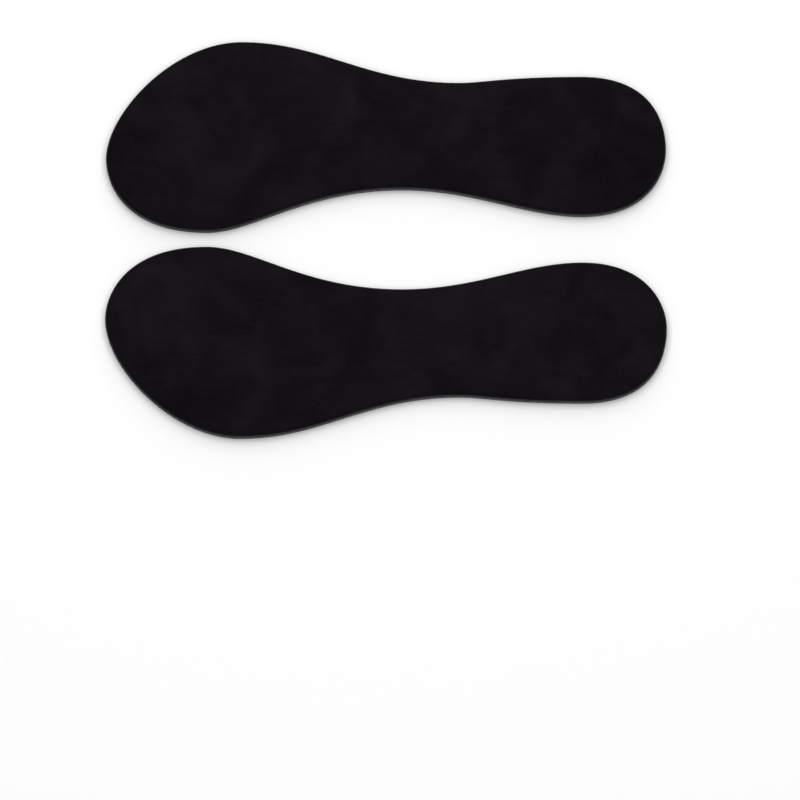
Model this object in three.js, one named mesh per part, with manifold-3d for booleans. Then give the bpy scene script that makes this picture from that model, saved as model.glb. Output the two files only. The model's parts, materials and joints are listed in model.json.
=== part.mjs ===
// A pair of three-quarter-length cushioned insoles for a heeled shoe, lying side by side.
// Each is a laminate: a napped cover, a foam cushion with three pads let into its underside,
// a base cloth, and two grip patches under it. It bends along a line behind the ball pad.
// Millimetres, +Z up. The pair lies on z = 0, toes towards -X, and the XZ plane is its mirror.

import * as THREE from 'three';
import { mergeVertices } from 'three/addons/utils/BufferGeometryUtils.js';
import Module from 'manifold-3d';

const wasm = await Module();
wasm.setup();

// Outline of one insole. Stations run along the length from the toe tip, or from the heel's end,
// and insets run across from the medial side of the ball.
const insoleLength = 180;
const ballWidth = 62.5;
const waistWidth = 35;
const heelWidth = 45.8;
const ballMedialStation = 32.5;
const ballLateralStation = 43.5;
const heelStationFromEnd = 27;
const waistMedialShare = 0.52; // of the way from the ball's widest point to the heel's
const waistLateralShare = 0.64;
const toeTipInset = 23.8;
const waistInset = 14;
const heelInset = 5.2;
const heelTipInset = 21.6; // from the heel's medial side
const pairGap = 5; // between the two insoles' balls

// Layers, from the floor up, each measured at the insole's edge.
const gripThickness = 0.6;
const baseThickness = 0.6;
const foamEdgeThickness = 1.8;
const coverThickness = 0.8;
const glueLine = 0.1;

// Shape of the top: it swells between the edges, and once more over the arch.
const ballCrown = 1.2;
const archRise = 1.2;
const archLength = 76;
const archSetback = 2.84; // from the narrowest point of the medial side to the middle of the arch

// Pads let into the foam from below, and the grip patches under the base.
const foamOverPad = 1.2;
const padClearance = 0.3;
const ballPadLength = 36;
const ballPadBorder = 9.5;
const heelPadLength = 32;
const heelPadBorder = 9;
const archPadLength = 52;
const archPadWidth = 18;
const archPadBorder = 4;
const ballGripLength = 24;
const ballGripBorder = 13;
const heelGripLength = 24;
const heelGripBorder = 12;

// The flex line lies this far behind the ball pad, and the layers are parted along it.
const flexSetback = 8;
const flexGap = 0.3;

const rungCount = 34;
const stepsAcross = 6;
const ovalSegments = 18; // in each half of an oval

const ballStation = (ballMedialStation + ballLateralStation) / 2;
const ballMiddle = ballWidth / 2;
const ballTilt = Math.atan2(ballLateralStation - ballMedialStation, ballWidth);
const heelPadStation = insoleLength - heelPadBorder - heelPadLength / 2;
const heelMiddle = heelInset + heelWidth / 2;
const archPadMiddle = waistInset + archPadBorder + archPadWidth / 2;
const flexStation = ballStation + ballPadLength / 2 + flexSetback;
const heelStation = insoleLength - heelStationFromEnd;
const waistMedialStation = THREE.MathUtils.lerp(ballMedialStation, heelStation, waistMedialShare);
const waistLateralStation = THREE.MathUtils.lerp(ballLateralStation, heelStation, waistLateralShare);
const archStation = waistMedialStation + archSetback;

const baseBottom = gripThickness + glueLine;
const foamBottom = baseBottom + baseThickness + glueLine;
const foamEdgeTop = foamBottom + foamEdgeThickness;
const coverEdgeBottom = foamEdgeTop + glueLine;
const wellClear = 10; // how far a cutting shape passes what it cuts

// Turning points of the two sides, toe to heel. At each the edge runs lengthwise or across, and its
// curve leaves towards the heel (ahead) and the toe (behind) for that share of the next point's offset.
const medialSide = [
  { x: 0, y: toeTipInset, runs: 'across', ahead: 0.35 },
  { x: ballMedialStation, y: 0, runs: 'lengthwise', behind: 0.8, ahead: 0.24 },
  { x: waistMedialStation, y: waistInset, runs: 'lengthwise', behind: 0.5, ahead: 0.41 },
  { x: heelStation, y: heelInset, runs: 'lengthwise', behind: 0.32, ahead: 0.76 },
  { x: insoleLength, y: heelInset + heelTipInset, runs: 'across', behind: 0.39 },
];

const lateralSide = [
  { x: 0, y: toeTipInset, runs: 'across', ahead: 0.39 },
  { x: ballLateralStation, y: ballWidth, runs: 'lengthwise', behind: 0.51, ahead: 0.37 },
  { x: waistLateralStation, y: waistInset + waistWidth, runs: 'lengthwise', behind: 0.43, ahead: 0.2 },
  { x: heelStation, y: heelInset + heelWidth, runs: 'lengthwise', behind: 0.62, ahead: 0.8 },
  { x: insoleLength, y: heelInset + heelTipInset, runs: 'across', behind: 0.44 },
];

function handle(at, towards, share) {
  if (at.runs === 'lengthwise') {
    return new THREE.Vector2(THREE.MathUtils.lerp(at.x, towards.x, share), at.y);
  }
  return new THREE.Vector2(at.x, THREE.MathUtils.lerp(at.y, towards.y, share));
}

function sidePoints(side) {
  const path = new THREE.Path();
  path.moveTo(side[0].x, side[0].y);
  for (let i = 1; i < side.length; i += 1) {
    const leave = handle(side[i - 1], side[i], side[i - 1].ahead);
    const arrive = handle(side[i], side[i - 1], side[i].behind);
    path.bezierCurveTo(leave.x, leave.y, arrive.x, arrive.y, side[i].x, side[i].y);
  }
  return path.getSpacedPoints(rungCount);
}

const medialPoints = sidePoints(medialSide);
const lateralPoints = sidePoints(lateralSide);

// How far the top stands above its edge at a share of the way across a rung, from the medial side.
// The crown goes with the product of the distances to the two edges, so it fades to nothing at both.
// The arch rise is a cosine bump along the length, highest a third of the way across.
function swell(x, across, rungLength) {
  const toMedial = across * rungLength;
  const toLateral = rungLength - toMedial;
  const crown = (ballCrown * toMedial * toLateral) / ballMiddle ** 2;
  const along = THREE.MathUtils.clamp((2 * (x - archStation)) / archLength, -1, 1);
  const bump = (1 + Math.cos(Math.PI * along)) / 2;
  const skew = 6.75 * across * (1 - across) ** 2; // 27/4 makes its peak, at a third, equal to 1
  return crown + archRise * bump * skew;
}

// One sheet of the laminate over the whole outline, between a lower and an upper level.
// A crowned level follows the swell, and a flat one doesn't.
function layerGeometry(lower, upper) {
  const positions = [];
  const rows = [];
  for (let i = 0; i <= rungCount; i += 1) {
    const isTip = i === 0 || i === rungCount;
    const steps = isTip ? 0 : stepsAcross;
    const row = [];
    for (let j = 0; j <= steps; j += 1) {
      const across = isTip ? 0 : j / steps;
      const point = medialPoints[i].clone().lerp(lateralPoints[i], across);
      const rise = swell(point.x, across, medialPoints[i].distanceTo(lateralPoints[i]));
      row.push(positions.length / 3);
      positions.push(point.x, point.y, lower.z + (lower.crowned ? rise : 0));
      positions.push(point.x, point.y, upper.z + (upper.crowned ? rise : 0));
    }
    rows.push(row);
  }
  const index = [];
  const quad = (a, b, c, d) => index.push(a, b, c, a, c, d);
  for (let i = 0; i < rungCount; i += 1) {
    for (let j = 0; j < stepsAcross; j += 1) {
      const at = (row, step) => row[Math.min(step, row.length - 1)];
      const [a, b] = [at(rows[i], j), at(rows[i + 1], j)];
      const [c, d] = [at(rows[i + 1], j + 1), at(rows[i], j + 1)];
      quad(a + 1, b + 1, c + 1, d + 1);
      quad(a, d, c, b);
    }
    const [medial, nextMedial] = [rows[i][0], rows[i + 1][0]];
    const [lateral, nextLateral] = [rows[i].at(-1), rows[i + 1].at(-1)];
    quad(medial, nextMedial, nextMedial + 1, medial + 1);
    quad(lateral, lateral + 1, nextLateral + 1, nextLateral);
  }
  const geometry = new THREE.BufferGeometry();
  geometry.setAttribute('position', new THREE.Float32BufferAttribute(positions, 3));
  geometry.setIndex(index);
  return geometry;
}

function toSolid(geometry) {
  const bare = geometry.clone();
  bare.deleteAttribute('normal');
  bare.deleteAttribute('uv');
  const merged = mergeVertices(bare);
  const corners = merged.index.array;
  const kept = [];
  for (let t = 0; t < corners.length; t += 3) {
    const [a, b, c] = [corners[t], corners[t + 1], corners[t + 2]];
    if (a !== b && b !== c && c !== a) {
      kept.push(a, b, c);
    }
  }
  return new wasm.Manifold(
    new wasm.Mesh({
      numProp: 3,
      vertProperties: merged.attributes.position.array,
      triVerts: Uint32Array.from(kept),
    }),
  );
}

function toGeometry(solid) {
  const mesh = solid.getMesh();
  const geometry = new THREE.BufferGeometry();
  geometry.setAttribute('position', new THREE.Float32BufferAttribute(mesh.vertProperties, 3));
  geometry.setIndex(Array.from(mesh.triVerts));
  return geometry;
}

// An upright oval block. Its length runs square to a line tilted like the ball.
function ovalBlock(centre, length, width, tilt, bottom, top) {
  const outline = new THREE.Shape();
  outline.absellipse(centre.x, centre.y, length / 2, width / 2, 0, 2 * Math.PI, false, -tilt);
  const block = new THREE.ExtrudeGeometry(outline, {
    depth: top - bottom,
    bevelEnabled: false,
    curveSegments: ovalSegments,
  });
  return block.translate(0, 0, bottom);
}

// The space ahead of the flex line (towards the toe), or behind it, each half the gap back from it.
function besideFlexLine(towardsHeel) {
  const size = 2 * insoleLength;
  const block = new THREE.BoxGeometry(size, size, size);
  block.translate(towardsHeel * (size + flexGap) / 2, 0, 0);
  block.rotateZ(-ballTilt);
  block.translate(flexStation, ballMiddle, 0);
  return toSolid(block);
}

const frontSide = besideFlexLine(-1);
const rearSide = besideFlexLine(1);

const flat = (z) => ({ z, crowned: false });
const crowned = (z) => ({ z, crowned: true });

function coverSolid() {
  const top = coverEdgeBottom + coverThickness;
  return toSolid(layerGeometry(crowned(coverEdgeBottom), crowned(top)));
}

function baseSolid() {
  return toSolid(layerGeometry(flat(baseBottom), flat(baseBottom + baseThickness)));
}

const pads = {
  ball_gel_pad: {
    centre: new THREE.Vector2(ballStation, ballMiddle),
    length: ballPadLength,
    width: ballWidth - 2 * ballPadBorder,
    tilt: ballTilt,
  },
  arch_pad: {
    centre: new THREE.Vector2(archStation, archPadMiddle),
    length: archPadLength,
    width: archPadWidth,
    tilt: 0,
  },
  heel_gel_pad: {
    centre: new THREE.Vector2(heelPadStation, heelMiddle),
    length: heelPadLength,
    width: heelWidth - 2 * heelPadBorder,
    tilt: 0,
  },
};

// A pad, or with a clearance the pocket for it: an oval under the foam's own crowned top.
function padSolid(pad, clearance) {
  const drop = foamOverPad - clearance;
  const underTop = layerGeometry(flat(foamBottom - drop), crowned(foamEdgeTop - drop));
  const floor = clearance > 0 ? foamBottom - drop - wellClear : foamBottom;
  const [length, width] = [pad.length + 2 * clearance, pad.width + 2 * clearance];
  const block = ovalBlock(pad.centre, length, width, pad.tilt, floor, foamEdgeTop + wellClear);
  return toSolid(block).intersect(toSolid(underTop));
}

function foamSolid() {
  let foam = toSolid(layerGeometry(flat(foamBottom), crowned(foamEdgeTop)));
  for (const pad of Object.values(pads)) {
    foam = foam.subtract(padSolid(pad, padClearance));
  }
  return foam;
}

function gripSolid(pad, length, width) {
  return toSolid(ovalBlock(pad.centre, length, width, pad.tilt, 0, gripThickness));
}

const finishes = {
  cover: { color: 0x161316, roughness: 0.95 },
  foam: { color: 0x29282b, roughness: 0.9 },
  base: { color: 0x1c1b1e, roughness: 0.9 },
  gel: { color: 0x8b9299, roughness: 0.25 },
  archFoam: { color: 0x3b3a3e, roughness: 0.85 },
  grip: { color: 0x34353a, roughness: 0.35 },
};

function halves(name, solid) {
  return {
    [`${name}_front`]: solid.intersect(frontSide),
    [`${name}_rear`]: solid.intersect(rearSide),
  };
}

const ballGripWidth = ballWidth - 2 * ballGripBorder;
const heelGripWidth = heelWidth - 2 * heelGripBorder;

const pieces = [
  { finish: 'cover', solids: halves('cover', coverSolid()) },
  { finish: 'foam', solids: halves('foam', foamSolid()) },
  { finish: 'base', solids: halves('base', baseSolid()) },
  {
    finish: 'gel',
    solids: {
      ball_gel_pad: padSolid(pads.ball_gel_pad, 0),
      heel_gel_pad: padSolid(pads.heel_gel_pad, 0),
    },
  },
  { finish: 'archFoam', solids: { arch_pad: padSolid(pads.arch_pad, 0) } },
  {
    finish: 'grip',
    solids: {
      ball_grip: gripSolid(pads.ball_gel_pad, ballGripLength, ballGripWidth),
      heel_grip: gripSolid(pads.heel_gel_pad, heelGripLength, heelGripWidth),
    },
  },
];

function mirrored(geometry) {
  const twin = geometry.clone().scale(1, -1, 1);
  const corners = twin.index.array;
  for (let t = 0; t < corners.length; t += 3) {
    [corners[t + 1], corners[t + 2]] = [corners[t + 2], corners[t + 1]];
  }
  return twin;
}

// One insole, with its medial side towards the other one.
function insole(foot) {
  const group = new THREE.Group();
  for (const { finish, solids } of pieces) {
    for (const [name, solid] of Object.entries(solids)) {
      const geometry = toGeometry(solid);
      const shape = foot === 'left' ? mirrored(geometry) : geometry;
      shape.computeVertexNormals();
      const mesh = new THREE.Mesh(shape, new THREE.MeshStandardMaterial(finishes[finish]));
      mesh.name = `${foot}_${name}`;
      group.add(mesh);
    }
  }
  const side = foot === 'left' ? -1 : 1;
  group.position.set(-insoleLength / 2, (side * pairGap) / 2, 0);
  return group;
}

const insolePair = new THREE.Group();
insolePair.add(insole('right'), insole('left'));

export default insolePair;
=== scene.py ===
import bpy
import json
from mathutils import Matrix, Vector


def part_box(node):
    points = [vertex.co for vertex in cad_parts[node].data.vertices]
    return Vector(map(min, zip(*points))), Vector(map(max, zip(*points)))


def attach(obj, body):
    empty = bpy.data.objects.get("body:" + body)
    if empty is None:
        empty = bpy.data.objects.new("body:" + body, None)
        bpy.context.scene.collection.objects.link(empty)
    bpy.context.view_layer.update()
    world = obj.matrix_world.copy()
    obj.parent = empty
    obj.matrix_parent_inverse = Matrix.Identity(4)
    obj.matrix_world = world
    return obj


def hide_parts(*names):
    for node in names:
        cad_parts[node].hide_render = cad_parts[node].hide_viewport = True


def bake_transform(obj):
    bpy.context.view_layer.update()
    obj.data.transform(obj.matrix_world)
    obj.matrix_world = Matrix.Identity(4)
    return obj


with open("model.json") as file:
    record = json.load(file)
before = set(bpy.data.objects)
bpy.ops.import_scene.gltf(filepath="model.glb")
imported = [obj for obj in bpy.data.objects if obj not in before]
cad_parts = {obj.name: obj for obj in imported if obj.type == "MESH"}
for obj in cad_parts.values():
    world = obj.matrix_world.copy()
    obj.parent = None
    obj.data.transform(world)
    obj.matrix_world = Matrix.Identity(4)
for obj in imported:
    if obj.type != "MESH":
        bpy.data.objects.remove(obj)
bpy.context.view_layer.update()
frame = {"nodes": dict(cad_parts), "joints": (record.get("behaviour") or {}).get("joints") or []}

import json
import math

import bmesh
import bpy
import numpy as np
from mathutils import Vector

mm = 0.001
print("frame loaded:", len(frame["nodes"]), "nodes")

view = {
    "elevation": 78,  # degrees above the floor, looking along +Y
    "lens": 500,  # mm, long, so the near and the far insole look the same size
    "frameWidth": 256.2 * mm,  # what the picture takes in, across
    "aimX": 4.5 * mm,
    "aimY": -52.1 * mm,  # the pair lies in the upper half of the picture
}

studio = {
    "floorColour": "#f4f4f4",
    "floorSize": 6.0,
    "skyColour": "#ffffff",
    "skyStrength": 0.28,
    "topPower": 21.9,  # watts, a wide soft box straight above
    "topSize": 1.7,
    "topHeight": 1.5,
    "backPower": 8.8,  # watts, a second one behind the pair, which draws the shadows forward
    "backSize": 1.6,
    "backDistance": 1.6,
    "backElevation": 35,
}


def linearColour(hexColour):
    # sRGB hex to linear: c / 12.92 up to 0.04045, and ((c + 0.055) / 1.055) to the power 2.4 above
    c = np.array([int(hexColour[i:i + 2], 16) for i in (1, 3, 5)]) / 255
    return (*np.where(c <= 0.04045, c / 12.92, ((c + 0.055) / 1.055) ** 2.4).tolist(), 1.0)


def addNode(tree, kind, settings=None, values=None, links=None):
    # one node with its settings, its unlinked socket values and the sockets that feed it
    node = tree.nodes.new("ShaderNode" + kind)
    for key, value in (settings or {}).items():
        setattr(node, key, value)
    for key, value in (values or {}).items():
        node.inputs[key].default_value = value
    for key, source in (links or {}).items():
        tree.links.new(source, node.inputs[key])
    return node


def newMaterial(name):
    material = bpy.data.materials.new(name)
    material.use_nodes = True
    material.node_tree.nodes.clear()
    return material, material.node_tree


def aimAt(thing, place, target):
    thing.location = place
    thing.rotation_euler = (Vector(target) - Vector(place)).to_track_quat("-Z", "Y").to_euler()


def softBox(name, power, size, place):
    lamp = bpy.data.objects.new(name, bpy.data.lights.new(name, "AREA"))
    lamp.data.energy = power
    lamp.data.size = size
    lamp.visible_camera = False
    bpy.context.scene.collection.objects.link(lamp)
    aimAt(lamp, place, (0, 0, 0))


def setStage():
    scene = bpy.context.scene
    scene.view_settings.view_transform = "Standard"
    scene.view_settings.look = "None"
    rise = math.radians(view["elevation"])
    aim = Vector((view["aimX"], view["aimY"], 0))
    camera = bpy.data.objects.new("camera", bpy.data.cameras.new("camera"))
    camera.data.lens = view["lens"]
    distance = view["frameWidth"] * view["lens"] / camera.data.sensor_width
    aimAt(camera, aim + distance * Vector((0, -math.cos(rise), math.sin(rise))), aim)
    scene.collection.objects.link(camera)
    scene.camera = camera

    back = math.radians(studio["backElevation"])
    softBox("topLight", studio["topPower"], studio["topSize"], (0, 0, studio["topHeight"]))
    softBox("backLight", studio["backPower"], studio["backSize"],
            studio["backDistance"] * Vector((0, math.cos(back), math.sin(back))))

    sky = bpy.data.worlds.new("studioSky")
    sky.use_nodes = True
    background = sky.node_tree.nodes["Background"]
    background.inputs["Color"].default_value = linearColour(studio["skyColour"])
    background.inputs["Strength"].default_value = studio["skyStrength"]
    scene.world = sky

    half = studio["floorSize"] / 2
    corners = [(-half, -half, 0), (half, -half, 0), (half, half, 0), (-half, half, 0)]
    floorMesh = bpy.data.meshes.new("floor")
    floorMesh.from_pydata(corners, [], [(0, 1, 2, 3)])
    floor = bpy.data.objects.new("floor", floorMesh)
    scene.collection.objects.link(floor)
    material, tree = newMaterial("mattWhitePaint")  # even and pale, with no gloss
    shader = addNode(tree, "BsdfPrincipled", values={
        "Base Color": linearColour(studio["floorColour"]), "Roughness": 0.9, "Specular IOR Level": 0.1})
    addNode(tree, "OutputMaterial", links={"Surface": shader.outputs[0]})
    floorMesh.materials.append(material)


setStage()
print("stage set")

# turning points of an insole's two sides, toe to heel, in mm: x from the toe tip, y from the ball's inner
# side, the way the edge runs there, and how far its curve reaches back and ahead, as shares of the offset
outline = {
    "medial": [
        (0, 23.8, "across", 0, 0.35),
        (32.5, 0, "lengthwise", 0.8, 0.24),
        (95.2, 14, "lengthwise", 0.5, 0.41),
        (153, 5.2, "lengthwise", 0.32, 0.76),
        (180, 26.8, "across", 0.39, 0),
    ],
    "lateral": [
        (0, 23.8, "across", 0, 0.39),
        (43.5, 62.5, "lengthwise", 0.51, 0.37),
        (113.6, 49, "lengthwise", 0.43, 0.2),
        (153, 51, "lengthwise", 0.62, 0.8),
        (180, 26.8, "across", 0.44, 0),
    ],
    "fineness": 240,  # points on each curve between two turning points
    "rungs": 200,  # rows of mesh along an insole
    "across": 64,  # and steps across it
}

coverLow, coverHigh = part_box("right_cover_front")
baseLow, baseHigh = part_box("right_base_front")
foamLow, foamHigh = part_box("right_foam_front")
glueLine = foamLow.z - baseHigh.z

level = {  # heights off the floor at an insole's edge
    "gripTop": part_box("right_ball_grip")[1].z,
    "baseBottom": baseLow.z,
    "baseTop": baseHigh.z,
    "foamBottom": foamLow.z,
    "coverBottom": coverLow.z,
    "coverThickness": coverHigh.z - foamHigh.z - glueLine,
}

swell = {
    "crown": 1.2 * mm,  # at the middle of the ball
    "archRise": 1.2 * mm,
    "archLength": 76 * mm,
    "rimDip": 0.45 * mm,  # the die presses the edge down
    "rimWidth": 2.2 * mm,
    "ripple": 0.05 * mm,  # unevenness of the glued layers
    "shortest": 14 * mm,  # of the ripple's waves
    "longest": 40 * mm,
    "waves": 5,
}

bond = 0.03 * mm  # adhesive between two layers
weld = 0.002 * mm  # points closer than this are one


def evenSteps(path, count):
    # the path's points moved to equal distances along it
    along = np.concatenate([[0], np.cumsum(np.linalg.norm(np.diff(path, axis=0), axis=1))])
    at = np.linspace(0, along[-1], count + 1)
    return np.stack([np.interp(at, along, path[:, k]) for k in (0, 1)], axis=1)


def sideCurve(turns, count):
    # cubic between each two turning points a and b: (1-t)^3 a + 3 (1-t)^2 t h + 3 (1-t) t^2 k + t^3 b, where
    # the handles h and k lie the way the edge runs; then count + 1 points at equal steps along the side
    t = np.linspace(0, 1, outline["fineness"])[:, None]
    spans = []
    for a, b in zip(turns[:-1], turns[1:]):
        start, end = np.array(a[:2], float), np.array(b[:2], float)
        leave, arrive = start.copy(), end.copy()
        axisA, axisB = int(a[2] == "across"), int(b[2] == "across")
        leave[axisA] += a[4] * (end - start)[axisA]
        arrive[axisB] += b[3] * (start - end)[axisB]
        spans.append((1 - t) ** 3 * start + 3 * (1 - t) ** 2 * t * leave
                     + 3 * (1 - t) * t ** 2 * arrive + t ** 3 * end)
    return evenSteps(np.concatenate(spans) * mm, count) + [coverLow.x, coverLow.y]


def ringFrom(medial, lateral):
    # out along the medial side and back along the lateral one, each end point once
    return np.concatenate([medial, lateral[-2:0:-1]])


def sidesOf(ring):
    # a ring's two sides again, both from its first point to its middle one
    half = len(ring) // 2
    return ring[:half + 1], ring[-np.arange(half + 1) % len(ring)]


def drawnIn(ring, inset):
    # each point moved by inset along the inward normal, the tangent turned a quarter left
    tangent = np.roll(ring, -1, axis=0) - np.roll(ring, 1, axis=0)
    tangent /= np.linalg.norm(tangent, axis=1)[:, None]
    return ring + inset * np.stack([-tangent[:, 1], tangent[:, 0]], axis=1)


def distanceTo(ring, x, y):
    # least distance from each place p to the ring's steps: |p - a - t (b - a)|, t held between 0 and 1,
    # worked out in 40 batches to spare memory
    step = np.roll(ring, -1, axis=0) - ring
    least = []
    for places in np.array_split(np.stack([np.ravel(x), np.ravel(y)], axis=1), 40):
        away = places[:, None] - ring
        t = np.clip((away * step).sum(axis=2) / (step ** 2).sum(axis=1), 0, 1)
        least.append(np.linalg.norm(away - t[..., None] * step, axis=2).min(axis=1))
    return np.concatenate(least).reshape(np.shape(x))


def smooth(t):
    # 0 up to 0, 1 from 1, and 3t^2 - 2t^3 between
    t = np.clip(t, 0, 1)
    return t * t * (3 - 2 * t)


medialSide = sideCurve(outline["medial"], outline["rungs"])
lateralSide = sideCurve(outline["lateral"], outline["rungs"])
edgeRing = ringFrom(medialSide, lateralSide)
flexAxis = next(j for j in frame["joints"] if j["name"] == "right_ball_flex")["axis"]
ballSlant = math.atan2(abs(flexAxis[0]), abs(flexAxis[1]))  # of the line across the ball


def ovalIn(node, slant):
    # an ellipse's centre and half axes a and b from its box's half sizes h and k, where the box of an
    # ellipse turned by the slant has h^2 = a^2 c^2 + b^2 s^2 and k^2 = a^2 s^2 + b^2 c^2
    low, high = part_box(node)
    h, k = ((high - low) / 2)[:2]
    c, s = math.cos(slant), math.sin(slant)
    spread = c ** 2 - s ** 2
    return {"centre": (low + high) / 2, "slant": slant,
            "a": math.sqrt((h ** 2 * c ** 2 - k ** 2 * s ** 2) / spread),
            "b": math.sqrt((k ** 2 * c ** 2 - h ** 2 * s ** 2) / spread)}


ovals = {
    "ball_gel_pad": ovalIn("right_ball_gel_pad", ballSlant),
    "heel_gel_pad": ovalIn("right_heel_gel_pad", 0),
    "arch_pad": ovalIn("right_arch_pad", 0),
    "ball_grip": ovalIn("right_ball_grip", ballSlant),
    "heel_grip": ovalIn("right_heel_grip", 0),
}


def ovalRing(oval, count):
    # centre + (a cos u, b sin u), turned by the slant, in 2 count steps
    u = np.linspace(0, 2 * math.pi, 2 * count, endpoint=False) + math.pi
    x, y = oval["a"] * np.cos(u), oval["b"] * np.sin(u)
    c, s = math.cos(oval["slant"]), math.sin(oval["slant"])
    return np.stack([oval["centre"].x + x * c + y * s, oval["centre"].y - x * s + y * c], axis=1)


def insideOval(oval, x, y):
    # 1 at the oval's centre, 0 on its edge and below 0 outside: 1 - r, with r the share of the way out
    dx, dy = x - oval["centre"].x, y - oval["centre"].y
    c, s = math.cos(oval["slant"]), math.sin(oval["slant"])
    return 1 - np.hypot((dx * c - dy * s) / oval["a"], (dx * s + dy * c) / oval["b"])


def gridFaces(rows, columns, first=0, closed=False):
    # quads between neighbouring rows and columns; a closed grid's last column joins its first
    i, j = np.meshgrid(np.arange(rows - 1), np.arange(columns if closed else columns - 1), indexing="ij")
    k = (j + 1) % columns
    quads = [i * columns + j, (i + 1) * columns + j, (i + 1) * columns + k, i * columns + k]
    return first + np.stack(quads, axis=-1).reshape(-1, 4)


# the cover stock is clamped flat round an insole's outline while the cushion pushes it up: a cloth
# simulation of that gives the crown
pressing = {
    "step": 1.5 * mm,  # between the stock's threads in the simulation
    "margin": 6,  # steps of stock beyond the insole's box
    "enlarged": 10,  # the sheet is simulated ten times its size, where the solver is at home
    "pressure": 4.0,
    "beside": 0.8,  # push beside the gel pads, as a share of the push over them
    "airDrag": 8,  # stills the stock within the frames
    "frames": 20,
}


def insideRing(ring, x, y):
    # even-odd rule: a place is inside if a line from it towards +x crosses the ring an odd number of times
    a, b = ring, np.roll(ring, -1, axis=0)
    x, y = x[..., None], y[..., None]
    straddles = (a[:, 1] > y) != (b[:, 1] > y)
    rise = np.where(a[:, 1] == b[:, 1], 1, b[:, 1] - a[:, 1])
    crossing = a[:, 0] + (y - a[:, 1]) / rise * (b[:, 0] - a[:, 0])
    return (straddles & (x < crossing)).sum(axis=-1) % 2 == 1


def pressStock():
    # the pressed sheet's rise on its grid, scaled so that its top is the crown
    step, margin, scene = pressing["step"], pressing["margin"], bpy.context.scene
    start = edgeRing.min(axis=0) - margin * step
    counts = np.ceil((edgeRing.max(axis=0) - start) / step).astype(int) + margin
    x, y = np.meshgrid(*[start[k] + step * np.arange(counts[k]) for k in (0, 1)], indexing="ij")
    free = insideRing(edgeRing, x, y).ravel()
    padded = sum(insideOval(ovals[pad], x, y) > 0 for pad in ("ball_gel_pad", "heel_gel_pad")).ravel() > 0

    mesh = bpy.data.meshes.new("coverStock")
    points = np.stack([x, y, np.zeros_like(x)], axis=-1).reshape(-1, 3) * pressing["enlarged"]
    mesh.from_pydata(points.tolist(), [], gridFaces(*x.shape).tolist())
    sheet = bpy.data.objects.new("coverStock", mesh)
    scene.collection.objects.link(sheet)
    sheet.vertex_groups.new(name="clamped").add(np.flatnonzero(~free).tolist(), 1.0, "REPLACE")
    pushed = sheet.vertex_groups.new(name="pushed")
    pushed.add(np.flatnonzero(free).tolist(), pressing["beside"], "REPLACE")
    pushed.add(np.flatnonzero(free & padded).tolist(), 1.0, "REPLACE")

    cloth = sheet.modifiers.new("pressing", "CLOTH")
    cloth.settings.vertex_group_mass = "clamped"
    cloth.settings.use_pressure = True
    cloth.settings.uniform_pressure_force = pressing["pressure"]
    cloth.settings.vertex_group_pressure = "pushed"
    cloth.settings.effector_weights.gravity = 0
    cloth.settings.air_damping = pressing["airDrag"]
    cloth.collision_settings.use_collision = False
    cloth.point_cache.frame_end = pressing["frames"]
    for moment in range(1, pressing["frames"] + 1):
        scene.frame_set(moment)
    settled = sheet.evaluated_get(bpy.context.evaluated_depsgraph_get())
    places = np.empty(3 * len(points), np.float32)
    settled.data.vertices.foreach_get("co", places)
    scene.frame_set(1)
    bpy.data.objects.remove(sheet)
    rise = np.abs(places.reshape(*x.shape, 3)[..., 2].astype(float))
    return {"start": start, "step": step, "rise": rise * swell["crown"] / rise.max()}


def splineRise(stock, x, y):
    # cubic B-spline through the grid: at t past a thread the four round it weigh (1-t)^3 / 6,
    # (3t^3 - 6t^2 + 4) / 6, (-3t^3 + 3t^2 + 3t + 1) / 6 and t^3 / 6, both ways
    total = np.zeros(np.shape(x))
    cell, weights = [], []
    for at, start in zip((x, y), stock["start"]):
        steps = (at - start) / stock["step"]
        whole = np.floor(steps).astype(int)
        t = steps - whole
        cell.append(whole)
        weights.append([(1 - t) ** 3 / 6, (3 * t ** 3 - 6 * t ** 2 + 4) / 6,
                        (-3 * t ** 3 + 3 * t ** 2 + 3 * t + 1) / 6, t ** 3 / 6])
    for i in range(4):
        for j in range(4):
            total += weights[0][i] * weights[1][j] * stock["rise"][cell[0] + i - 1, cell[1] + j - 1]
    return total


def acrossAt(x, y):
    # distances across from the insole's two sides at the same station
    low = np.interp(x, medialSide[:, 0], medialSide[:, 1])
    high = np.interp(x, lateralSide[:, 0], lateralSide[:, 1])
    return np.maximum(y - low, 0), np.maximum(high - y, 0)


pressedStock = pressStock()
print("cover stock pressed" if pressedStock else "pressing skipped")


def swellAt(x, y):
    # the pressed crown (unpressed: the product of the distances to both sides over the half width squared),
    # and an arch, a cosine bump along times 27/4 s (1-s)^2 across, s the share of the way from the inner side
    toMedial, toLateral = acrossAt(x, y)
    share = toMedial / np.maximum(toMedial + toLateral, 0.01 * mm)
    if pressedStock:
        crown = splineRise(pressedStock, x, y)
    else:
        halfWidth = np.ptp(edgeRing[:, 1]) / 2
        crown = swell["crown"] * toMedial * toLateral / halfWidth ** 2
    along = np.clip(2 * (x - ovals["arch_pad"]["centre"].x) / swell["archLength"], -1, 1)
    return crown + swell["archRise"] * (1 + np.cos(math.pi * along)) / 2 * 6.75 * share * (1 - share) ** 2


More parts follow.
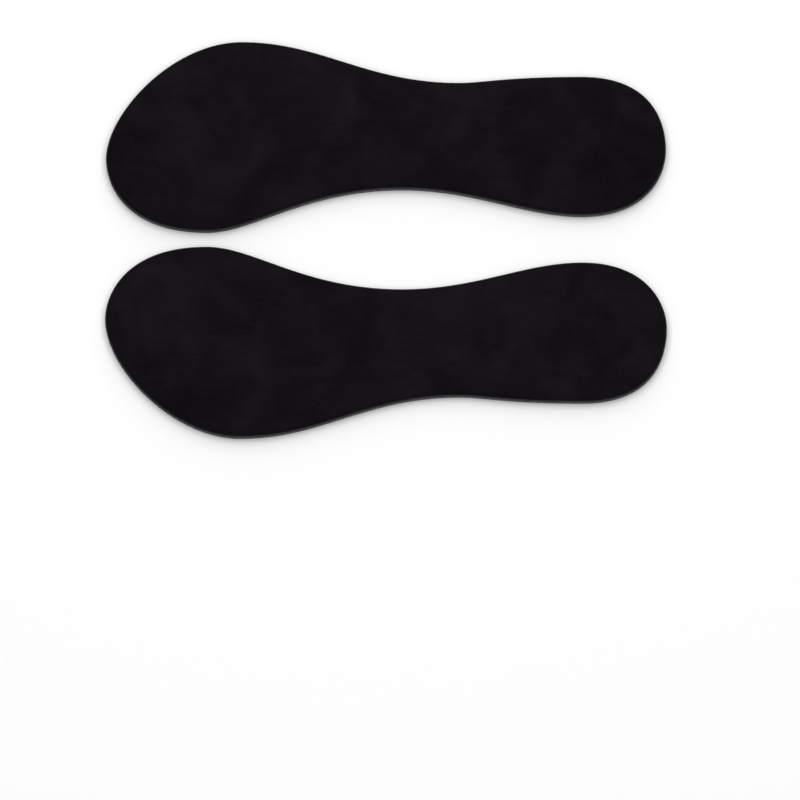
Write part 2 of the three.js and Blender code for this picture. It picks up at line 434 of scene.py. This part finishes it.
def rippleAt(x, y, seed):
    # mean of a few sines, sin(2 pi d / wave + start), whose directions and starts are drawn from the seed
    draw, count = np.random.default_rng(seed), swell["waves"]
    waves = draw.uniform(swell["shortest"], swell["longest"], count)
    turns = draw.uniform(0, math.pi, count)
    starts = draw.uniform(0, 2 * math.pi, count)
    total = np.zeros_like(x)
    for wave, turn, start in zip(waves, turns, starts):
        total += np.sin(2 * math.pi * (x * math.cos(turn) + y * math.sin(turn)) / wave + start)
    return swell["ripple"] * total / count


def laminateTop(x, y, seed):
    # the cover's top: edge level, swell and ripple, less the dip that the die presses at the rim
    rim = 1 - smooth(distanceTo(edgeRing, x, y) / swell["rimWidth"])
    edge = level["coverBottom"] + level["coverThickness"]
    return edge + swellAt(x, y) + (1 - rim) * rippleAt(x, y, seed) - swell["rimDip"] * rim ** 2


def shellFrom(ring, across, topAt, bottomAt, rim):
    # top and under side: P(i, j) = medial_i + (lateral_i - medial_i) j / across, at the height given there.
    # wall: the ring carried down a quarter arc, a wall that draws in by a sine, and another quarter arc
    ring = drawnIn(ring, rim.get("back", 0))
    parts, faces, edges, count = [], [], [], 0
    for heightAt, inset in ((topAt, rim["top"]), (bottomAt, rim["bottom"])):
        medial, lateral = sidesOf(drawnIn(ring, inset))
        p = medial[:, None] + (lateral - medial)[:, None] * np.linspace(0, 1, across + 1)[None, :, None]
        z = heightAt(p[..., 0], p[..., 1])
        parts.append(np.concatenate([p, z[..., None]], axis=2).reshape(-1, 3))
        faces.append(gridFaces(*p.shape[:2], count))
        count += p.shape[0] * p.shape[1]
        edges.append(ringFrom(z[:, :1], z[:, -1:])[:, 0])
    turn = np.linspace(0, math.pi / 2, rim["steps"] + 1)
    down = np.linspace(0, 1, rim["wallSteps"] + 1)[1:-1]
    high = edges[0] - rim["top"] * (1 - np.cos(turn))[:, None]
    low = edges[1] + rim["bottom"] * (1 - np.sin(turn))[:, None]
    heights = np.concatenate([high, high[-1] + (low[0] - high[-1]) * down[:, None], low])
    insets = np.concatenate([rim["top"] * (1 - np.sin(turn)), rim["drawIn"] * np.sin(math.pi * down),
                             rim["bottom"] * (1 - np.cos(turn))])
    parts += [np.column_stack([drawnIn(ring, inset), z]) for inset, z in zip(insets, heights)]
    faces.append(gridFaces(len(heights), len(ring), count, closed=True))
    return np.concatenate(parts), np.concatenate(faces)


def makePiece(name, shell, material, foot):
    # the mesh with its doubles merged, so that tips and seams close, and its faces turned outwards; each
    # point keeps its place at rest in mm, for the finishes
    points, faces = shell
    points = points * [1, -1 if foot == "left" else 1, 1]
    mesh = bpy.data.meshes.new(name)
    mesh.from_pydata(points.tolist(), [], faces.tolist())
    work = bmesh.new()
    work.from_mesh(mesh)
    bmesh.ops.remove_doubles(work, verts=work.verts, dist=weld)
    bmesh.ops.dissolve_degenerate(work, edges=work.edges, dist=weld / 4)
    bmesh.ops.recalc_face_normals(work, faces=work.faces)
    work.to_mesh(mesh)
    work.free()
    mesh.polygons.foreach_set("use_smooth", np.ones(len(mesh.polygons), bool))
    place = np.empty(3 * len(mesh.vertices), np.float32)
    mesh.vertices.foreach_get("co", place)
    mesh.attributes.new("placeInMm", "FLOAT_VECTOR", "POINT").data.foreach_set("vector", place / mm)
    mesh.materials.append(material)
    piece = bpy.data.objects.new(name, mesh)
    bpy.context.scene.collection.objects.link(piece)
    return piece


# microfibre suede, split and brushed: matt black with a short nap; painted shade darkens it where the nap is
# deep, and painted sheen lightens it in patches and streaks along the insole; a faint bloom at a low angle
# and a grey die-cut edge
suede = {
    # the nap's colour in painted shade at its roots, and lit by painted sheen at its tips and in its patches
    "deepNapPaintedShade": "#080608",
    "raisedNapPaintedSheen": "#181419",
    "pressed": "#080708",
    "cut": "#363438",  # of the cloth that holds the nap
    "fibre": 0.4,  # mm between fibre clumps; real ones are 0.1 to 0.2, too fine to show
    "fibreLay": 0.5,  # a clump is twice as long as it is wide
    "streak": 1.3,  # mm across a brushed streak
    "streakLay": 0.2,  # which is five times as long
    "paintedSheenPatch": 16,  # mm across a patch of nap, a patch of painted sheen
    "streaky": 0.28,  # share of the streaks in the nap
    "patchy": 0.45,  # and of the painted-sheen patches in its shade
    "darkest": 0.34,  # noise level where the nap is deep, in painted shade
    "lightest": 0.66,
    "relief": 0.2,  # mm between the nap's tips and roots
    "roughness": 0.95,
    "bloom": 0.09,  # sheen of the nap's tips
    "bloomSpread": 0.45,
    "bloomTint": "#b9b2bb",
    "pressedFrom": 2.0,  # mm from the edge, where the die starts to flatten the nap
    "pressedTo": 0.3,
    "pressedShare": 0.35,
    "cutFrom": 0.5,  # mm from the edge, where the nap thins out
    "cutTo": 0.1,
}


def suedeMaterial():
    material, tree = newMaterial("brushedMicrofibreSuede")
    place = addNode(tree, "Attribute", {"attribute_name": "placeInMm"}).outputs["Vector"]
    brushed = addNode(tree, "VectorMath", {"operation": "MULTIPLY"}, {1: (suede["streakLay"], 1, 1)},
                      {0: place}).outputs[0]
    lying = addNode(tree, "VectorMath", {"operation": "MULTIPLY"}, {1: (suede["fibreLay"], 1, 1)},
                    {0: place}).outputs[0]
    fibre = addNode(tree, "TexNoise", values={"Scale": 1 / suede["fibre"], "Detail": 5, "Roughness": 0.72},
                    links={"Vector": lying}).outputs[0]
    streak = addNode(tree, "TexNoise", values={"Scale": 1 / suede["streak"], "Detail": 3, "Roughness": 0.55},
                     links={"Vector": brushed}).outputs[0]
    paintedSheenPatch = addNode(tree, "TexNoise", values={"Scale": 1 / suede["paintedSheenPatch"], "Detail": 2, "Distortion": 0.6},
                    links={"Vector": place}).outputs[0]
    nap = addNode(tree, "Mix", {"data_type": "FLOAT"}, {0: suede["streaky"]},
                  {2: fibre, 3: streak}).outputs[0]
    lay = addNode(tree, "Mix", {"data_type": "FLOAT"}, {0: suede["patchy"]},
                  {2: nap, 3: paintedSheenPatch}).outputs[0]
    # painted shade where the nap's noise, which also drives the bump, is low, and painted sheen in the
    # lighter patches and streaks
    shade = addNode(tree, "MapRange", values={"From Min": suede["darkest"], "From Max": suede["lightest"]},
                    links={"Value": lay}).outputs[0]
    colour = addNode(tree, "Mix", {"data_type": "RGBA"},
                     {6: linearColour(suede["deepNapPaintedShade"]), 7: linearColour(suede["raisedNapPaintedSheen"])},
                     {0: shade}).outputs[2]
    edge = addNode(tree, "Attribute", {"attribute_name": "mmFromEdge"}).outputs["Fac"]
    pressed = addNode(tree, "MapRange", {"interpolation_type": "SMOOTHSTEP"},
                      {"From Min": suede["pressedFrom"], "From Max": suede["pressedTo"],
                       "To Max": suede["pressedShare"]}, {"Value": edge}).outputs[0]
    flattened = addNode(tree, "Mix", {"data_type": "RGBA"}, {7: linearColour(suede["pressed"])},
                        {0: pressed, 6: colour}).outputs[2]
    cut = addNode(tree, "MapRange", {"interpolation_type": "SMOOTHSTEP"},
                  {"From Min": suede["cutFrom"], "From Max": suede["cutTo"]}, {"Value": edge}).outputs[0]
    finished = addNode(tree, "Mix", {"data_type": "RGBA"}, {7: linearColour(suede["cut"])},
                       {0: cut, 6: flattened}).outputs[2]
    bump = addNode(tree, "Bump", values={"Strength": 0.8, "Distance": suede["relief"] * mm},
                   links={"Height": nap}).outputs[0]
    shader = addNode(tree, "BsdfPrincipled", values={
        "Roughness": suede["roughness"], "IOR": 1.45, "Specular IOR Level": 0.05,
        "Sheen Weight": suede["bloom"], "Sheen Roughness": suede["bloomSpread"],
        "Sheen Tint": linearColour(suede["bloomTint"])},
        links={"Base Color": finished, "Normal": bump})
    addNode(tree, "OutputMaterial", links={"Surface": shader.outputs[0]})
    return material


# open-cell polyurethane foam, die-cut: a grey edge of fine open cells, with painted shade darkening each pore
foam = {
    "paintedPoreShade": "#2b2a2e",
    "wall": "#737176",
    "cell": 0.55,  # mm; real cells are about 0.3, drawn coarser to show
    "grain": 1.7,  # mm across a denser or looser patch
    "patchy": 0.3,  # share of those patches in the shade
    "darkest": 0.15,
    "lightest": 0.6,
    "relief": 0.15,
}


def foamMaterial():
    material, tree = newMaterial("openCellFoam")
    place = addNode(tree, "Attribute", {"attribute_name": "placeInMm"}).outputs["Vector"]
    cells = addNode(tree, "TexVoronoi", values={"Scale": 1 / foam["cell"]},
                    links={"Vector": place}).outputs["Distance"]
    grain = addNode(tree, "TexNoise", values={"Scale": 1 / foam["grain"], "Detail": 2},
                    links={"Vector": place}).outputs[0]
    mixed = addNode(tree, "Mix", {"data_type": "FLOAT"}, {0: foam["patchy"]},
                    {2: cells, 3: grain}).outputs[0]
    wall = addNode(tree, "MapRange", values={"From Min": foam["darkest"], "From Max": foam["lightest"]},
                   links={"Value": mixed}).outputs[0]
    # painted shade in the pores, where the cell noise that also drives the bump is low, mixed with the foam's
    # own denser and looser patches
    colour = addNode(tree, "Mix", {"data_type": "RGBA"},
                     {6: linearColour(foam["paintedPoreShade"]), 7: linearColour(foam["wall"])}, {0: wall}).outputs[2]
    bump = addNode(tree, "Bump", values={"Strength": 0.8, "Distance": foam["relief"] * mm},
                   links={"Height": cells}).outputs[0]
    shader = addNode(tree, "BsdfPrincipled", values={
        "Roughness": 0.9, "IOR": 1.5, "Specular IOR Level": 0.2},
        links={"Base Color": colour, "Normal": bump})
    addNode(tree, "OutputMaterial", links={"Surface": shader.outputs[0]})
    return material


# polyester tricot, warp-knitted: a dull near-black backing with fine wales along the insole, and painted
# shade in the valleys between its loops
tricot = {
    "paintedValleyShade": "#121114",
    "loop": "#2b2a2f",
    "wale": 0.9,  # mm between wales; real ones are about 0.5, drawn coarser to show
    "course": 0.7,
    "relief": 0.12,
}


def tricotMaterial():
    material, tree = newMaterial("knittedTricot")
    place = addNode(tree, "Attribute", {"attribute_name": "placeInMm"}).outputs["Vector"]
    perMm = 2 * math.pi / 20  # a wave texture of scale 1 repeats every 2 pi / 20
    wales = addNode(tree, "TexWave", {"bands_direction": "Y"},
                    {"Scale": perMm / tricot["wale"], "Distortion": 0.6, "Detail": 1, "Detail Scale": 2},
                    {"Vector": place}).outputs[1]
    courses = addNode(tree, "TexWave", {"bands_direction": "X"},
                      {"Scale": perMm / tricot["course"], "Distortion": 0.8, "Detail": 1, "Detail Scale": 2},
                      {"Vector": place}).outputs[1]
    knit = addNode(tree, "Math", {"operation": "MULTIPLY"}, links={0: wales, 1: courses}).outputs[0]
    # painted shade in the knit's valleys, where the height that also drives the bump is low
    colour = addNode(tree, "Mix", {"data_type": "RGBA"},
                     {6: linearColour(tricot["paintedValleyShade"]), 7: linearColour(tricot["loop"])},
                     {0: knit}).outputs[2]
    bump = addNode(tree, "Bump", values={"Strength": 0.7, "Distance": tricot["relief"] * mm},
                   links={"Height": knit}).outputs[0]
    shader = addNode(tree, "BsdfPrincipled", values={
        "Roughness": 0.8, "IOR": 1.5, "Specular IOR Level": 0.25},
        links={"Base Color": colour, "Normal": bump})
    addNode(tree, "OutputMaterial", links={"Surface": shader.outputs[0]})
    return material


# thermoplastic gel, moulded clear: cool grey, slightly cloudy and soft-edged
clearGel = {"low": "#8d959c", "high": "#aab2b8", "roughness": 0.22, "transmission": 0.75}

# polyurethane gel, cast and smoked: darker and tackier, with a soft shine on each dot
smokedGel = {"low": "#44464c", "high": "#5d6067", "roughness": 0.3, "transmission": 0.35}

gelGrain = {
    "cloud": 5.5,  # mm across a cloudier patch
    "pit": 0.8,  # mm across a faint pit of the skin
    "relief": 0.1,
    "dulled": 0.15,  # roughness that a cloudy patch adds
}


def gelMaterial(name, tint):
    material, tree = newMaterial(name)
    place = addNode(tree, "Attribute", {"attribute_name": "placeInMm"}).outputs["Vector"]
    haze = addNode(tree, "TexNoise", values={"Scale": 1 / gelGrain["cloud"], "Detail": 3},
                   links={"Vector": place}).outputs[0]
    colour = addNode(tree, "Mix", {"data_type": "RGBA"},
                     {6: linearColour(tint["high"]), 7: linearColour(tint["low"])}, {0: haze}).outputs[2]
    skin = addNode(tree, "TexNoise", values={"Scale": 1 / gelGrain["pit"], "Detail": 2},
                   links={"Vector": place}).outputs[0]
    bump = addNode(tree, "Bump", values={"Strength": 0.15, "Distance": gelGrain["relief"] * mm},
                   links={"Height": skin}).outputs[0]
    gloss = addNode(tree, "MapRange", links={"Value": haze}, values={
        "To Min": tint["roughness"], "To Max": tint["roughness"] + gelGrain["dulled"]}).outputs[0]
    shader = addNode(tree, "BsdfPrincipled", values={
        "IOR": 1.45, "Transmission Weight": tint["transmission"]},
        links={"Base Color": colour, "Roughness": gloss, "Normal": bump})
    addNode(tree, "OutputMaterial", links={"Surface": shader.outputs[0]})
    return material


# EVA foam, moulded: firmer and finer than the cushion, dull charcoal with a closed skin, and painted shade in
# each bead's middle
eva = {
    "low": "#39373b",
    "high": "#4b494e",
    "bead": 0.8,  # mm across a moulded bead
    "relief": 0.1,
}


def evaMaterial():
    material, tree = newMaterial("mouldedEvaFoam")
    place = addNode(tree, "Attribute", {"attribute_name": "placeInMm"}).outputs["Vector"]
    beads = addNode(tree, "TexVoronoi", values={"Scale": 1 / eva["bead"]},
                    links={"Vector": place}).outputs["Distance"]
    # darker towards each bead's middle, where the bump sinks: painted shade
    colour = addNode(tree, "Mix", {"data_type": "RGBA"},
                     {6: linearColour(eva["low"]), 7: linearColour(eva["high"])}, {0: beads}).outputs[2]
    bump = addNode(tree, "Bump", values={"Strength": 0.4, "Distance": eva["relief"] * mm},
                   links={"Height": beads}).outputs[0]
    shader = addNode(tree, "BsdfPrincipled", values={
        "Roughness": 0.75, "IOR": 1.5, "Specular IOR Level": 0.3},
        links={"Base Color": colour, "Normal": bump})
    addNode(tree, "OutputMaterial", links={"Surface": shader.outputs[0]})
    return material


finish = {
    "suede": suedeMaterial(),
    "foam": foamMaterial(),
    "tricot": tricotMaterial(),
    "clearGel": gelMaterial("mouldedClearGel", clearGel),
    "smokedGel": gelMaterial("castSmokedGel", smokedGel),
    "eva": evaMaterial(),
}
print("finishes mixed:", len(finish))

cover = {
    "seed": {"right": 11, "left": 23},  # of each insole's ripple
    "rim": {"top": 0.45 * mm, "bottom": 0.08 * mm, "drawIn": -0.02 * mm, "steps": 6, "wallSteps": 3},
}


def makeCover(foot):
    def topAt(x, y):
        return laminateTop(x, y, cover["seed"][foot])

    def underAt(x, y):
        return topAt(x, y) - level["coverThickness"]

    shell = shellFrom(edgeRing, outline["across"], topAt, underAt, cover["rim"])
    piece = makePiece(foot + "_cover", shell, finish["suede"], foot)
    place = np.empty(3 * len(piece.data.vertices), np.float32)
    piece.data.vertices.foreach_get("co", place)
    x, y, _ = place.reshape(-1, 3).T
    fromEdge = (distanceTo(edgeRing, x, np.abs(y)) / mm).astype(np.float32)
    piece.data.attributes.new("mmFromEdge", "FLOAT", "POINT").data.foreach_set("value", fromEdge)
    return piece


cushion = {
    "rim": {"top": 0.1 * mm, "bottom": 0.1 * mm, "drawIn": 0.18 * mm, "back": 0.12 * mm,
            "steps": 3, "wallSteps": 8},
    "overPad": 1.2 * mm,  # foam left above a pad
    "pocketSide": 1.2 * mm,  # over which a pocket's side slopes
    "pocketRoom": 0.36 * mm,  # round a pad
}


def foamTop(x, y, foot):
    return laminateTop(x, y, cover["seed"][foot]) - level["coverThickness"] - bond


def makeCushion(foot):
    # flat below, with a pocket over each pad: up to overPad below the top, within slopes round the pad
    def topAt(x, y):
        return foamTop(x, y, foot)

    def bottomAt(x, y):
        depth = np.zeros_like(x)
        full = topAt(x, y) - cushion["overPad"] - level["foamBottom"]
        for name in ("ball_gel_pad", "heel_gel_pad", "arch_pad"):
            oval = ovals[name]
            outwards = -insideOval(oval, x, y) * min(oval["a"], oval["b"])
            slope = 1 - (outwards - cushion["pocketRoom"]) / cushion["pocketSide"]
            depth = np.maximum(depth, smooth(slope) * full)
        return level["baseTop"] + bond + depth

    shell = shellFrom(edgeRing, outline["across"], topAt, bottomAt, cushion["rim"])
    return makePiece(foot + "_cushion", shell, finish["foam"], foot)


baseCloth = {
    "rim": {"top": 0.1 * mm, "bottom": 0.2 * mm, "drawIn": -0.03 * mm, "back": 0.05 * mm,
            "steps": 4, "wallSteps": 3},
}


def makeBaseCloth(foot):
    def topAt(x, y):
        return np.full_like(x, level["baseTop"])

    def bottomAt(x, y):
        return np.full_like(x, level["baseBottom"])

    shell = shellFrom(edgeRing, outline["across"], topAt, bottomAt, baseCloth["rim"])
    return makePiece(foot + "_base_cloth", shell, finish["tricot"], foot)


pad = {
    "belowPocket": 0.1 * mm,  # room between a pad and its pocket's roof
    "rim": {"top": 0.5 * mm, "bottom": 0.15 * mm, "drawIn": 0.0, "steps": 5, "wallSteps": 2},
    "steps": 60,
}


def makePad(name, node, finishName, foot):
    # an oval that fills its pocket: flat on the base cloth, and swelling like the cushion above it
    def topAt(x, y):
        return foamTop(x, y, foot) - cushion["overPad"] - pad["belowPocket"]

    def bottomAt(x, y):
        return np.full_like(x, level["baseTop"] + bond)

    shell = shellFrom(ovalRing(ovals[node], pad["steps"]), pad["steps"], topAt, bottomAt, pad["rim"])
    return makePiece(f"{foot}_{name}", shell, finish[finishName], foot)


grip = {
    "film": 0.3 * mm,  # thickness of the patch between its dots
    "dotPitch": 2.6 * mm,
    "dotRadius": 0.95 * mm,
    "border": 0.1,  # share of the way in from the patch's edge where the dots reach full height
    "rim": {"top": 0.05 * mm, "bottom": 0.2 * mm, "drawIn": 0.0, "steps": 4, "wallSteps": 2},
    "steps": 110,
}


def dotsAt(x, y):
    # height share of the nearest dot on a staggered grid: a dome, sqrt(1 - (r / radius)^2)
    pitch, row = grip["dotPitch"], grip["dotPitch"] * math.sqrt(3)
    rise = np.zeros_like(x)
    for shift in (0, 0.5):
        dx = ((x / pitch + shift) % 1 - 0.5) * pitch
        dy = ((y / row + shift) % 1 - 0.5) * row
        rise = np.maximum(rise, np.sqrt(np.clip(1 - (np.hypot(dx, dy) / grip["dotRadius"]) ** 2, 0, 1)))
    return rise


def makeGrip(name, node, foot):
    # an oval film under the base cloth, with domed dots that stand on the floor
    def topAt(x, y):
        return np.full_like(x, level["baseBottom"] - bond)

    def bottomAt(x, y):
        room = smooth(insideOval(ovals[node], x, y) / grip["border"])
        return (level["gripTop"] - grip["film"]) * (1 - dotsAt(x, y) * room)

    shell = shellFrom(ovalRing(ovals[node], grip["steps"]), grip["steps"], topAt, bottomAt, grip["rim"])
    return makePiece(f"{foot}_{name}", shell, finish["smokedGel"], foot)


def bendAtBall(piece):
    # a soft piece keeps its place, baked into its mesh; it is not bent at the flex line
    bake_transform(piece)


def layAcross(sheet, node, foot):
    bendAtBall(sheet)
    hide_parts(f"{foot}_{node}_front", f"{foot}_{node}_rear")


def setIn(piece, node, foot, body=None):
    # a piece that lies clear of the bend rides on its body, and one that reaches into it has its place baked
    # in, unbent
    if body:
        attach(piece, f"{foot}_{body}")
    else:
        bendAtBall(piece)
    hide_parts(f"{foot}_{node}")


for foot in ("right", "left"):
    coverSheet = makeCover(foot)
    foamSheet = makeCushion(foot)
    baseSheet = makeBaseCloth(foot)
    ballGel = makePad("ball_gel", "ball_gel_pad", "clearGel", foot)
    heelGel = makePad("heel_gel", "heel_gel_pad", "clearGel", foot)
    archWedge = makePad("arch_wedge", "arch_pad", "eva", foot)
    ballPatch = makeGrip("ball_grip_patch", "ball_grip", foot)
    heelPatch = makeGrip("heel_grip_patch", "heel_grip", foot)

    layAcross(coverSheet, "cover", foot)
    layAcross(foamSheet, "foam", foot)
    layAcross(baseSheet, "base", foot)
    setIn(ballGel, "ball_gel_pad", foot)
    setIn(archWedge, "arch_pad", foot)
    setIn(heelGel, "heel_gel_pad", foot, "rear")
    setIn(ballPatch, "ball_grip", foot, "front")
    setIn(heelPatch, "heel_grip", foot, "rear")

    print(foot, "insole made")
